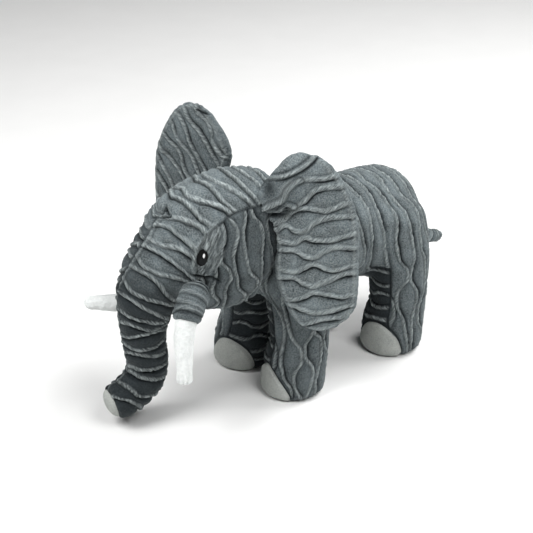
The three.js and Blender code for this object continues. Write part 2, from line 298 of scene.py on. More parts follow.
def closed_sheet(name, rings, material, inward):
    """A patch from rings of points round its middle, closed by a copy of itself further in."""
    rings = np.array(rings)
    count, sides = rings.shape[:2]
    below = count * sides  # the copy's points follow those of the face
    last = below - sides
    around = [(side, (side + 1) % sides) for side in range(sides)]
    faces = []
    for ring in range(0, last, sides):
        for side, after in around:
            a, b, c, d = ring + side, ring + after, ring + sides + after, ring + sides + side
            faces.append((a, b, c, d))
            faces.append((below + d, below + c, below + b, below + a))
    for side, after in around:
        faces.append((last + side, last + after, below + last + after, below + last + side))
    faces.append(tuple(reversed(range(sides))))
    faces.append(tuple(below + side for side in range(sides)))
    points = np.concatenate([rings.reshape(-1, 3), (rings + inward).reshape(-1, 3)])
    return new_object(name, from_arrays(name, from_toy(points), faces), material)


def smooth_line(knots, steps=8):
    """A smooth line through the knots, with the same number of points between each two."""
    knots = np.array(knots, dtype=np.float64)
    padded = np.concatenate([[2 * knots[0] - knots[1]], knots, [2 * knots[-1] - knots[-2]]])
    line = []
    for i in range(1, len(padded) - 2):
        p0, p1, p2, p3 = padded[i - 1 : i + 3]
        slope, bend, twist = p2 - p0, 2 * p0 - 5 * p1 + 4 * p2 - p3, 3 * p1 - p0 - 3 * p2 + p3
        for t in np.arange(steps) / steps:
            line.append(0.5 * (2 * p1 + slope * t + bend * t**2 + twist * t**3))
    line.append(knots[-1])
    return np.array(line)


def nearest_on(points, line):
    """For each point, the nearest place on a line: how far away, at which index and on which side of it."""
    best = np.full(len(points), 1e9)
    index = np.zeros(len(points))
    side = np.zeros(len(points))
    for i in range(len(line) - 1):
        step = line[i + 1] - line[i]
        share = np.clip(((points - line[i]) @ step) / (step @ step), 0, 1)
        away = points - line[i] - share[:, None] * step
        distance = np.einsum("ij,ij->i", away, away)
        closer = distance < best
        best[closer] = distance[closer]
        index[closer] = i + share[closer]
        if points.shape[1] == 2:
            side[closer] = np.sign(step[0] * away[closer, 1] - step[1] * away[closer, 0])
    return np.sqrt(best), index, side


def station_on(points, line):
    """Where on a smooth line each point lies: the place whose square plane passes through the point."""
    along = np.gradient(line, axis=0)
    along /= np.linalg.norm(along, axis=1)[:, None]
    best, knot = np.full(len(points), 1e9), np.zeros(len(points), dtype=int)
    for i, place in enumerate(line):
        distance = ((points - place) ** 2).sum(axis=1)
        knot[distance < best] = i
        best = np.minimum(best, distance)
    ahead = np.einsum("ij,ij->i", points - line[knot], along[knot])
    first = np.clip(knot - (ahead < 0), 0, len(line) - 2)
    start = np.einsum("ij,ij->i", points - line[first], along[first])
    end = np.einsum("ij,ij->i", points - line[first + 1], along[first + 1])
    share = np.clip(start / np.maximum(start - end, 1e-6), 0, 1)
    step = line[first + 1] - line[first]
    away = points - line[first] - share[:, None] * step
    side = np.sign(step[:, 0] * away[:, 1] - step[:, 1] * away[:, 0])
    return np.linalg.norm(away, axis=1), first + share, side


def lengths_of(line):
    return np.concatenate([[0], np.cumsum(np.linalg.norm(np.diff(line, axis=0), axis=1))])


def length_along(points, line):
    """How far along a line each point lies, in millimetres."""
    _, index, _ = nearest_on(points, line)
    return np.interp(index, np.arange(len(line)), lengths_of(line))


def ride(obj, nodes):
    """Hangs a piece under the root, and hides the solids it stands for."""
    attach(obj, "root")
    if nodes:
        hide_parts(*nodes)


# ---------------------------------------------------------------- patterns in numpy


def chance(keys, salt):
    """A fixed number from 0 to 1 for each whole number, the same in every run."""
    mixed = np.sin(keys * 12.9898 + salt * 78.233) * 43758.5453
    return mixed - np.floor(mixed)


def clouds(points, size, salt):
    """Smooth noise from -1 to 1, with lumps of the given size in millimetres."""
    scaled = points / size
    cell = np.floor(scaled)
    part = scaled - cell
    part = part * part * (3 - 2 * part)
    total = np.zeros(len(points))
    for corner in range(8):
        step = np.array([corner & 1, (corner >> 1) & 1, (corner >> 2) & 1])
        weight = np.prod(np.where(step, part, 1 - part), axis=1)
        x, y, z = (cell + step).T
        # Three unlike numbers give each cell a key of its own.
        total += weight * chance(x * 1.7 + y * 57.3 + z * 113.9, salt)
    return total * 2 - 1


def cloth_clouds(one, other, salt):
    """The same noise over two directions in the cloth, with lumps of size 1."""
    return clouds(np.stack([one, other, one * 0], axis=1), 1.0, salt)


def ease(low, high, values):
    t = np.clip((values - low) / (high - low), 0, 1)
    return t * t * (3 - 2 * t)


def mix(first, second, share):
    return first + (second - first) * share


def bump(distance, width):
    return np.exp(-((distance / width) ** 2))


def broad(distance, width):
    """Like a bump, but with a flatter top and steeper sides."""
    return np.exp(-(np.maximum(distance / width, 0) ** 3))


def only_on(share, distance):
    """Sends a distance far off where share is 0, so that nothing is drawn there."""
    return distance + FAR * (1 - share)


def take_nearer(found, away, along, cord):
    """Keeps a cord's distance, and the length counted along it, where it is the nearest so far."""
    closer = np.abs(away) < np.abs(found[0])
    return np.where(closer, away, found[0]), np.where(closer, along + CORD["next"] * cord, found[1])


def cord_distance(across, along, pitch, sway, wave, wander, salt):
    """How far each point is from the nearest raised cord, and how far along that cord.

    Cords lie one pitch apart and swing to and fro along their length. Neighbours swing opposite ways,
    so that they part round long cells and nearly meet between them."""
    found = np.full(across.shape, 1e3), along
    home = np.round(across / pitch)
    for step in (-2, -1, 0, 1, 2):
        cord = home + step
        # Each cord swings a little more or less than the next, in uneven waves with flattened turns.
        phase = math.pi * cord + wander * (chance(cord, salt) - 0.5)
        reach = sway * (0.65 + 0.6 * chance(cord, salt + 1))
        bend = 0.5 * np.sin(2 * math.pi * along / (wave * 1.7) + 6 * chance(cord, salt + 3))
        swing = np.tanh(1.2 * np.sin(2 * math.pi * along / wave + phase + bend * wander)) / math.tanh(1.2)
        slow = np.sin(2 * math.pi * along / (wave * 2.3) + 2 * math.pi * chance(cord, salt + 2))
        away = across - cord * pitch - reach * (swing + CORD["drift"] * slow)
        found = take_nearer(found, away, along, cord)
    return found


def laid_distance(across, along, cords, start, step):
    """The same for cords that are given by their places at equal steps."""
    found = np.full(across.shape, 1e3), along
    for cord, places in enumerate(cords):
        line = smooth_line([(start + step * k, place) for k, place in enumerate(places)], 6)
        slope = np.interp(along, line[:, 0], np.gradient(line[:, 1], line[:, 0]))
        away = (across - np.interp(along, line[:, 0], line[:, 1])) / np.hypot(1, slope)
        found = take_nearer(found, away, along, cord)
    return found


def steepness(obj, points, values):
    """How fast a value grows along the surface at each vertex of an all-quad mesh, kept within reason.

    A distance in that value, divided by this, is in millimetres, so a cord stays equally wide everywhere."""
    corners = np.empty(len(obj.data.loops), dtype=np.int32)
    obj.data.loops.foreach_get("vertex_index", corners)
    corners = corners.reshape(-1, 4)
    first, second, third, fourth = corners.T
    # A quad's two diagonals, and how much the value rises along each.
    one, other = points[third] - points[first], points[fourth] - points[second]
    rise_one, rise_other = values[third] - values[first], values[fourth] - values[second]
    aa, bb, ab = (np.einsum("ij,ij->i", *pair) for pair in ((one, one), (other, other), (one, other)))
    whole = np.maximum(aa * bb - ab * ab, 1e-12)
    square = (rise_one**2 * bb - 2 * rise_one * rise_other * ab + rise_other**2 * aa) / whole
    growth = np.sqrt(np.maximum(square, 0))
    total = sum(np.bincount(corners[:, k], growth, len(points)) for k in range(4))
    share = sum(np.bincount(corners[:, k], minlength=len(points)) for k in range(4))
    return np.clip(total / np.maximum(share, 1), 0.55, 1.9)


def combed(across, along, salt):
    """Locks of strands lying side by side, a little coarser than single strands, from -1 to 1."""
    lean, wide, long = STRAND["lean"], STRAND["wide"] * 1.6, STRAND["long"] * 1.3
    side = across * math.cos(lean) - along * math.sin(lean)
    onward = along * math.cos(lean) + across * math.sin(lean)
    return cloth_clouds(side / wide, onward / long, salt)


class Relief:
    """Height of the plush over its base, how much of each point is cord, hollow or plain pile, and how much
    painted shade it has.
    """

    def __init__(self, nearest, width=1.5, steep=1.0, lower=1):
        """Takes the nearest cord's distance, and the length along it.

        The distance has the sign of "lower" on a cord's lower side, where the crease is deeper and more shade
        is painted."""
        self.across, self.along = nearest[0] / steep, nearest[1]
        distance, below = np.abs(self.across), ease(-0.5, 0.5, self.across * lower)
        ragged = distance + CORD["ragged"] * combed(self.across, self.along, 15)
        # The crease, and the shade painted in it, are deeper in some places than in others, in stretches of
        # about 14 mm.
        uneven = 0.7 + 0.6 * cloth_clouds(self.along / 14, self.across / 14, 18)
        self.cord = broad(ragged, width)
        # The hollow deepens the crease, and the material paints shade into it.
        self.hollow = bump(ragged - width - 0.8, 0.8) * np.clip((0.25 + 0.75 * below) * uneven, 0, 1)
        self.height = CORD["height"] * self.cord - CORD["crease"] * self.hollow
        self.height += CORD["puff"] * (1 - bump(distance, CORD["rise"])) - CORD["sunk"]
        # Painted shade: set for each piece later, and a band of painted shade on the cloth just under a
        # cord's lower side.
        self.painted_shade = np.zeros(len(distance))
        self.painted_shade_below_cord = 0.45 * below * uneven * bump(distance - width - 1.2, 3.2)

    def blend(self, other, share):
        """Changes into another relief where share is 1."""
        for name in ("cord", "hollow", "height", "across", "along", "painted_shade_below_cord"):
            setattr(self, name, mix(getattr(self, name), getattr(other, name), share))

    def flatten(self, share, height=0.0):
        """Levels the relief to a height where share is 1."""
        self.height = mix(self.height, height, share)
        self.cord = self.cord * (1 - share)
        self.hollow = self.hollow * (1 - share)
        self.painted_shade_below_cord = self.painted_shade_below_cord * (1 - share)

    def seam(self, distance, depth=1.7, width=1.3, painted_hollow_shade=1.0):
        """Sinks a seam where the distance is 0, and paints shade into its groove."""
        sunk = bump(distance, width)
        self.height = self.height * (1 - sunk) - depth * sunk
        self.hollow = np.maximum(self.hollow, sunk * painted_hollow_shade)
        self.cord = self.cord * (1 - sunk)

    def ridge(self, distance, height=1.7, width=1.5, share=1.0, crease=0.8):
        """Raises one more cord where the distance is 0, with a band of painted shade beside it, as in a
        crease.
        """
        raised = bump(distance, width) * share
        self.height = np.maximum(self.height, mix(self.height, height, raised))
        self.cord = np.maximum(self.cord, raised)
        self.hollow = np.maximum(self.hollow * (1 - raised), bump(distance - 3.0, 1.1) * share * crease)

    def build(self, obj, base, outward):
        """Moves the skin out by the relief and keeps the pattern for the material."""
        strands = combed(self.across, self.along, 5) * (0.03 + NAP["strands"] * self.cord)
        tufts = clouds(base, 1.7, 3) * NAP["tufts"] * (0.3 + 0.8 * self.cord)
        lumps = clouds(base, 11.0, 4) * NAP["lumps"]
        place(obj.data, from_toy(base + outward * (self.height + strands + tufts + lumps)[:, None]))
        # The painted shade under the cords joins the piece's own painted shade.
        self.painted_shade = self.painted_shade + self.painted_shade_below_cord * (1 - self.painted_shade)
        for name in ("cord", "hollow", "across", "along", "painted_shade"):
            store(obj.data, name, getattr(self, name))


# ---------------------------------------------------------------- materials


def linear(hex_colour):
    """A colour written in sRGB as hex, as Blender's linear values."""
    parts = [int(hex_colour[i : i + 2], 16) / 255 for i in (1, 3, 5)]
    return [c / 12.92 if c <= 0.04045 else ((c + 0.055) / 1.055) ** 2.4 for c in parts] + [1.0]


def new_material(name, constants):
    """A material with its shader's constants set, its node tree and its shader."""
    material = bpy.data.materials.new(name)
    material.use_nodes = True
    shader = material.node_tree.nodes["Principled BSDF"]
    for key, value in constants.items():
        shader.inputs[key].default_value = value
    return material, material.node_tree, shader


# The inputs and the output of a node that mixes two colours, by their places.
SHARE, FIRST, SECOND, MIXED = 0, 6, 7, 2


def node(tree, kind, inputs, output=0, **settings):
    """Adds a node with its settings, links or fills its inputs, and gives one of its outputs."""
    made = tree.nodes.new("ShaderNode" + kind)
    for key, value in settings.items():
        setattr(made, key, value)
    for key, value in inputs.items():
        if isinstance(value, bpy.types.NodeSocket):
            tree.links.new(value, made.inputs[key])
        else:
            made.inputs[key].default_value = value
    return made.outputs[output]


def pile_material(name, tip, sheen, sheen_roughness):
    """Polyester pile has no gloss, but its tips catch the light that grazes it."""
    constants = {
        "Roughness": 0.95,
        "Specular IOR Level": 0.15,
        "Sheen Weight": sheen,
        "Sheen Roughness": sheen_roughness,
        "Sheen Tint": tip,
    }
    return new_material(name, constants)


def stroked(tree, where, base, deep, size, most):
    """Where a hand has stroked the cloth, the pile leans another way and looks lighter or darker.

    The patches are of the given size in millimetres."""
    strokes = node(tree, "TexNoise", {"Vector": where, "Scale": 1000 / size, "Detail": 3.0}, "Fac")
    stroke = node(tree, "MapRange", {"Value": strokes, "From Min": 0.35, "From Max": 0.65, "To Max": most})
    return node(tree, "Mix", {SHARE: stroke, FIRST: base, SECOND: deep}, MIXED, data_type="RGBA")


def embossed_plush(name, base, tip, deep):
    """Embossed polyester plush: a short, dense pile, moulded by heat into raised cords.

    To the eye it is soft and without gloss. Its strands lie slantwise along each cord, and each cord is
    painted lighter with the tip tone, a painted highlight where the pile's tips catch the light. The creases
    beside a cord are darkened with painted shade."""
    base, tip, deep = linear(base), linear(tip), linear(deep)
    material, tree, shader = pile_material(name, tip, 0.2, 0.4)
    where = node(tree, "TexCoord", {}, "Object")
    cord, hollow, along, across, painted_shade = (
        node(tree, "Attribute", {}, "Fac", attribute_name=stored)
        for stored in ("cord", "hollow", "along", "across", "painted_shade")
    )
    # The real strands are about 1 mm wide. They are drawn a little wider so that they show.
    on_cloth = node(tree, "CombineXYZ", {"X": along, "Y": across})
    lean = {"Vector": on_cloth, "Angle": -STRAND["lean"]}
    leaning = node(tree, "VectorRotate", lean, rotation_type="Z_AXIS")
    scale = (1 / STRAND["long"], 1 / STRAND["wide"], 1.0)
    stretched = node(tree, "VectorMath", {0: leaning, 1: scale}, operation="MULTIPLY")
    noise = {"Vector": stretched, "Scale": 1.0, "Detail": 2.0, "Roughness": 0.6}
    strands = node(tree, "TexNoise", noise, "Fac")
    strand = node(tree, "MapRange", {"Value": strands, "From Min": 0.37, "From Max": 0.63})
    # Pile tufts are about 0.6 mm across. They are drawn at 1.2 mm so that they show.
    noise = {"Vector": where, "Scale": 1000 / 1.2, "Detail": 1.0, "Roughness": 0.6}
    tufts = node(tree, "TexNoise", noise, "Fac")
    tuft = node(tree, "MapRange", {"Value": tufts, "From Min": 0.3, "From Max": 0.7})
    ground = stroked(tree, where, base, deep, 16, 0.6)
    tuft_share = node(tree, "Math", {0: tuft, 1: 0.3}, operation="MULTIPLY")
    pile = node(tree, "Mix", {SHARE: tuft_share, FIRST: ground, SECOND: tip}, MIXED, data_type="RGBA")
    # Painted shade: the cloth is darkened towards the deep tone as far as the stored painted shade says.
    laid = node(tree, "Mix", {SHARE: painted_shade, FIRST: pile, SECOND: deep}, MIXED, data_type="RGBA")
    # On a cord, light strands stand up with darker gaps between them. The mix towards the tip tone there is
    # also a painted highlight along the cord.
    light = node(tree, "MapRange", {"Value": strand, "To Min": 0.1, "To Max": 0.92})
    roped = node(tree, "Mix", {SHARE: light, FIRST: laid, SECOND: tip}, MIXED, data_type="RGBA")
    on_cord = node(tree, "Math", {0: cord, 1: 0.75}, operation="MULTIPLY", use_clamp=True)
    corded = node(tree, "Mix", {SHARE: on_cord, FIRST: laid, SECOND: roped}, MIXED, data_type="RGBA")
    # Painted shade in the creases, seams and dents.
    in_hollow = node(tree, "Math", {0: hollow, 1: 0.95}, operation="MULTIPLY", use_clamp=True)
    colour = node(tree, "Mix", {SHARE: in_hollow, FIRST: corded, SECOND: deep}, MIXED, data_type="RGBA")
    raised = node(tree, "Math", {0: strand, 1: cord}, operation="MULTIPLY")
    rope = node(tree, "Bump", {"Height": raised, "Distance": 1.4 * MM, "Strength": 1.0})
    height = {"Height": tuft, "Distance": 0.35 * MM, "Strength": 1.0, "Normal": rope}
    nap = node(tree, "Bump", height)
    tree.links.new(colour, shader.inputs["Base Color"])
    tree.links.new(nap, shader.inputs["Normal"])
    return material


def plain_pile(name, base, tip, deep, tuft_size=1.2, sheen=0.25):
    """Short plain pile, cut and brushed: an even, soft face, a little mottled where it was stroked."""
    base, tip, deep = linear(base), linear(tip), linear(deep)
    material, tree, shader = pile_material(name, tip, sheen, 0.5)
    where = node(tree, "TexCoord", {}, "Object")
    # Its tufts are about 0.4 mm across, drawn three to five times as coarse so that they show.
    noise = {"Vector": where, "Scale": 1000 / tuft_size, "Detail": 2.0}
    tufts = node(tree, "TexNoise", noise, "Fac")
    tip_share = {"Value": tufts, "From Min": 0.38, "From Max": 0.62, "To Max": 0.5}
    tuft = node(tree, "MapRange", tip_share)
    ground = stroked(tree, where, base, deep, 9, 0.4)
    colour = node(tree, "Mix", {SHARE: tuft, FIRST: ground, SECOND: tip}, MIXED, data_type="RGBA")
    nap = node(tree, "Bump", {"Height": tuft, "Distance": 0.6 * MM, "Strength": 0.9})
    tree.links.new(colour, shader.inputs["Base Color"])
    tree.links.new(nap, shader.inputs["Normal"])
    return material


def satin_stitch(name, thread, gap):
    """Machine embroidery in rayon: parallel threads about 0.45 mm apart, with a slight silky gloss."""
    material, tree, shader = new_material(name, {"Roughness": 0.6, "Specular IOR Level": 0.12})
    where = node(tree, "TexCoord", {}, "Object")
    # At a scale of 800 to the metre, diagonal bands lie 0.45 mm apart.
    bands = {"Vector": where, "Scale": 800.0, "Distortion": 1.5, "Detail": 1.0}
    threads = node(tree, "TexWave", bands, "Fac", bands_direction="DIAGONAL")
    shades = {SHARE: threads, FIRST: linear(gap), SECOND: linear(thread)}
    colour = node(tree, "Mix", shades, MIXED, data_type="RGBA")
    stitched = node(tree, "Bump", {"Height": threads, "Distance": 0.15 * MM})
    tree.links.new(colour, shader.inputs["Base Color"])
    tree.links.new(stitched, shader.inputs["Normal"])
    return material


# The grey's deep tone is its painted shade as well as its darker stroked patches, and its tip tone is the
# painted highlight on its cords as well as its lighter tufts.
GREY = embossed_plush("embossed grey plush", base="#5d676b", tip="#c2cbcb", deep="#181d20")
TAUPE = plain_pile("taupe short-pile velour", base="#a6a9a5", tip="#bcc0bb", deep="#7d8080")
WHITE = plain_pile("white brushed plush", "#dfe2e1", "#eef0ef", "#d2d6d4", tuft_size=2.2, sheen=0.4)
THREADS = {
    "black": satin_stitch("black embroidery thread", "#0b0c0d", "#010101"),
    "charcoal": satin_stitch("charcoal embroidery thread", "#1d2022", "#0b0c0d"),
    "glint": satin_stitch("white embroidery thread", "#ffffff", "#d8d8d8"),
}

# ---------------------------------------------------------------- body and legs


def round_a_leg(points, name):
    """Angle round a leg, 0 outward and positive towards the front, with the distance from its axis."""
    x, y, z = points.T
    foot_x, foot_y = FEET[name]
    side = math.copysign(1, foot_y)
    ahead = foot_x + np.interp(z, LEG_LINE["height"], LEG_LINE["ahead"])
    out = side * foot_y - np.interp(z, LEG_LINE["height"], LEG_LINE["inward"])
    forward, outward = ahead - x, side * y - out
    return np.arctan2(forward, outward), np.hypot(forward, outward), ahead


def around_end(past, y, z):
    """Distance round the torso's round end: over its top like a dome's rings, and below them upright."""
    dome = TORSO_ROUND * np.arcsin(np.clip(past / TORSO_ROUND, 0, 1))
    upright = TORSO_ROUND * np.arctan2(np.maximum(past, 0), np.abs(y) + 4)
    return mix(upright, dome, ease(TORSO_MIDDLE - 10, TORSO_MIDDLE + 20, z))


def toe_edge(name, angle, height):
    """How far inside (below 0) or outside a toe patch a point is, in millimetres."""
    toe = TOES[name]
    turn = np.abs(angle - toe["middle"]) / toe["reach"]
    rise = np.maximum(height, 0) / toe["height"]
    power = toe["point"]
    total = turn**power + rise**power
    across = power * turn ** (power - 1) / (toe["reach"] * TOE_ROUND)
    up = power * rise ** (power - 1) / toe["height"]
    return (total - 1) / np.maximum(np.hypot(across, up), 1e-3)


def build_body():
    """The cover of the torso and the legs, sewn as one. Gives its smooth surface, for the toe patches."""
    nodes = ["torso"] + [f"{name}_{part}" for name in FEET for part in ("leg", "toe")]
    obj = fused("body", nodes, GREY, voxel=3.4, soften=10)
    base, outward = surface_of(obj)
    x, y, z = base.T

    # Cords run over the torso from side to side. "across" counts along its length, from end to end.
    across = np.clip(x, CHEST, RUMP) + around_end(x - RUMP, y, z) - around_end(CHEST - x, y, z)
    over_top = TORSO_ROUND * np.abs(np.arctan2(y, np.maximum(z - TORSO_MIDDLE, 0)))
    down_side = TORSO_ROUND * math.pi / 2 + TORSO_MIDDLE - z
    along = np.where(y < 0, -1, 1) * np.where(z > TORSO_MIDDLE, over_top, down_side)
    sway = mix(BODY_SWAY["side"], BODY_SWAY["back"], ease(TORSO_MIDDLE - 20, TORSO_MIDDLE + 20, z))
    inner, toes, seam = np.zeros(len(base)), np.full(len(base), 1e3), np.full(len(base), 1e3)
    inner_along = y.copy()
    for name in FEET:
        angle, distance, ahead = round_a_leg(base, name)
        on_leg = ease(*LEG_BEGINS["away"], distance) * ease(*LEG_BEGINS["height"], z)
        across = mix(across, ahead - LEG_ROUND * angle, on_leg)
        sway = mix(sway, BODY_SWAY["leg"], on_leg)
        front, back = (math.radians(a) for a in LEG_SEAMS[name.split("_")[0]])
        # Low down, the front seam gives way to the toe patch.
        front = front - 0.25 * ease(40, 20, z)
        past = np.maximum(angle - front, back - angle) * LEG_ROUND
        here = on_leg > 0.4
        inner = np.where(here, np.maximum(inner, ease(-0.8, 0.8, past)), inner)
        seam = np.where(here & (z > 8), np.minimum(seam, np.abs(past)), seam)
        inner_along = np.where(here, LEG_ROUND * angle, inner_along)
        close = (distance < 45) & (np.abs(angle - TOES[name]["middle"]) < 1.6) & (z < 50)
        toes = np.where(close, np.minimum(toes, toe_edge(name, angle, z)), toes)

    warp = clouds(base, 24.0, 6) * 1.8 + clouds(base, 8.0, 7) * 0.7
    cords = cord_distance(across + warp, along, sway=sway, **CORDS["body"])
    width = mix(1.4, 1.7, ease(TORSO_MIDDLE - 10, 60, z))
    relief = Relief(cords, width, steepness(obj, base, across))
    # The legs' inner panels have their cords level, like rungs.
    relief.blend(Relief(cord_distance(z + warp, inner_along, **CORDS["inner leg"])), inner)
    # Painted shade: darker towards the belly and low on the front legs, and darkest on the legs' inner
    # panels.
    painted_shade = 0.14 + 0.12 * ease(TORSO_MIDDLE, 70, z) + 0.14 * (x < 0) * ease(100, 60, z)
    relief.painted_shade = mix(painted_shade, 0.9, inner)
    relief.seam(seam, depth=1.4, width=1.3)
    # Plain pile where the tail is sewn in.
    from_tail = np.hypot(y, z - TAIL_LINE[0][2])
    relief.flatten(ease(30, 20, from_tail) * (x > RUMP), 0.2)
    # The cover is cut back for the toe patches, with a seam round each, and worn flat under the feet.
    relief.flatten(ease(2.0, 0.5, toes), -TOE_DEPTH - 0.6)
    relief.seam(np.abs(toes - 1.2), depth=1.6, width=1.4)
    relief.flatten(ease(5, 1, z) * ease(0.3, -0.6, outward[:, 2]) * 0.9, -0.6)
    relief.build(obj, base, outward)
    ride(obj, ["torso"] + [f"{name}_leg" for name in FEET])
    return tree_of(obj, base)


def on_surface(tree, start, direction):
    """Where a straight line from a point in toy millimetres first meets the surface, and its normal there."""
    hit, normal, _, _ = tree.ray_cast(Vector(from_toy(start)), Vector(direction))
    if hit is None:
        return None, None
    return to_toy(np.array(hit)), np.array(normal)


def tree_of(obj, base):
    """The smooth base surface, before its relief, for patches to lie on."""
    faces = [tuple(face.vertices) for face in obj.data.polygons]
    return BVHTree.FromPolygons([tuple(p) for p in from_toy(base)], faces)


def build_toe(name, tree):
    """The smooth arch over the front of a foot, slightly crowned, with its edge turned in."""
    foot_x, foot_y = FEET[name]
    toe = TOES[name]
    side = math.copysign(1, foot_y)
    axis = np.array([foot_x - 6, foot_y, 0.0])
    rings = []
    for share in np.linspace(0.03, 1, 22):
        points = []
        for turn in np.arange(96) * 2 * math.pi / 96:
            # The upper half of the outline is the arch, and the lower half is straight along the floor.
            flat, up = math.cos(turn), math.sin(turn)
            if up >= 0:
                rise = TOE_MIDDLE + (toe["height"] - TOE_MIDDLE) * up
                width = math.copysign(1, flat)
            else:
                square = max(abs(flat), abs(up))
                rise = TOE_MIDDLE + (TOE_MIDDLE - TOE_LOW) * up / square
                width = flat / square
            width *= (1 - (rise / toe["height"]) ** toe["point"]) ** (1 / toe["point"])
            angle = toe["middle"] + toe["reach"] * width * share
            height = TOE_MIDDLE + (rise - TOE_MIDDLE) * share
            direction = np.array([-math.sin(angle), side * math.cos(angle), 0.0])
            # Found from outside the foot. Where that misses, it is taken as round.
            level = axis + [0, 0, height]
            hit, normal = on_surface(tree, level + direction * (TOE_ROUND + 6), -direction)
            if hit is None:
                hit, normal = level + direction * (TOE_ROUND - 6), direction
            crown = 0.7 - 2.4 * max(0.0, (share - 0.86) / 0.14) ** 2
            points.append(hit + normal * crown)
        rings.append(points if side < 0 else points[::-1])
    inward = np.array([3.0, 0.0, 1.0])
    patch = closed_sheet(f"{name}_toe_patch", rings, TAUPE, inward)
    ride(patch, [f"{name}_toe"])


BODY_TREE = build_body()
for leg in FEET:
    build_toe(leg, BODY_TREE)

# ---------------------------------------------------------------- head and trunk


def turned(points, angle, axis):
    return points @ np.array(Matrix.Rotation(angle, 3, axis)).T


def to_head(points):
    """The head's own axes, turned with it but not tilted, as the trunk has them."""
    return turned(points - HEAD_AT, -HEAD_TURN, "Z")


def from_head(points):
    return turned(np.asarray(points, dtype=np.float64), HEAD_TURN, "Z") + HEAD_AT


def head_way(direction):
    """A direction given in the head's own axes, in the toy's."""
    return turned(np.array(direction, dtype=np.float64), HEAD_TURN, "Z")


def trunk_rings(obj, base, local, warp):
    """The rings of cord over the head and round the trunk, shifted where the trunk's seam parts them."""
    x, y, z = local.T
    inner, outer = smooth_line(INNER_LINE, 12), smooth_line(OUTER_LINE, 12)
    away, index, side = station_on(local[:, [0, 2]], inner)
    station = np.interp(index, np.arange(len(outer)), lengths_of(outer))
    ahead = -side * away
    trunk = ease(105, 150, station)
    # The head is 46 mm in radius there, and the trunk 24 mm.
    along = mix(46.0, 24.0, trunk) * np.arctan2(y, ahead)
    cloth = np.interp(station, CLOTH_PLACES["station"], CLOTH_PLACES["cloth"])
    middle = np.interp(z, TRUNK_SEAM["height"], TRUNK_SEAM["y"])
    front = ease(-44, -54, x) * ease(36, 30, z) * (ahead > 2)
    beyond = front * ease(-0.8, 0.8, y - middle)
    nearest = laid_distance(cloth + 5.5 * beyond + 0.6 * warp, np.abs(along), HEAD_CORDS, 0, HEAD_CORDS_STEP)
    relief = Relief(nearest, mix(1.9, 1.6, trunk), steepness(obj, base, cloth))
    relief.seam(only_on(front, np.abs(y - middle)), depth=0.7, width=0.9, painted_hollow_shade=0.25)
    relief.ridge(only_on(front, np.abs(y - middle + 2.6)), height=0.8, width=1.1, share=0.6)
    # Painted shade: a little over the back of the head, much down the trunk, and low down on the right of the
    # trunk's front seam.
    painted_shade = 0.16 * ease(112, 82, station) + 0.88 * ease(150, 225, station)
    relief.painted_shade = np.maximum(painted_shade, 0.6 * beyond * ease(30, 12, z))
    return relief


def eye_ground(relief, base, skull):
    """Combed pile round the eye, with a cord along its edge, and the fold under it."""
    on_face = np.abs(skull[:, 1]) >= FACE_SIDE
    dx, dz = skull[:, 0] - EYE_GROUND["middle"][0], skull[:, 2] - EYE_GROUND["middle"][1]
    lean = EYE_GROUND["lean"]
    length_way = dz * math.cos(lean) + dx * math.sin(lean)
    width_way = dx * math.cos(lean) - dz * math.sin(lean)
    pointed = 1 - (length_way / EYE_GROUND["half_length"]) ** 2
    leaf = np.abs(width_way) - EYE_GROUND["half_width"] * pointed
    leaf = only_on(on_face, leaf) + clouds(base, 7.0, 34) * 1.3
    hatch = cloth_clouds(dx * 0.8 - dz * 0.45, dz * 0.12 + dx * 0.22, 33)
    inside = ease(0.8, -1.2, leaf)
    relief.flatten(inside, 0.0)
    edging = 0.75 * ease(30, 22, np.abs(length_way)) * ease(-0.9, 0.4, clouds(base, 9.0, 35))
    relief.ridge(np.abs(leaf), height=1.2, width=1.1, share=edging, crease=0.3)
    relief.height += inside * hatch * 0.9
    relief.cord += inside * (0.55 + 0.45 * hatch)
    # Painted shade in the low lines of the hatch.
    relief.hollow += inside * np.clip(-hatch * 1.6 - 0.3, 0, 1) * 0.4
    fold_away, _, _ = nearest_on(skull[:, [0, 2]], smooth_line(EYE_FOLD))
    relief.seam(only_on(on_face, fold_away), depth=2.8, width=1.5)


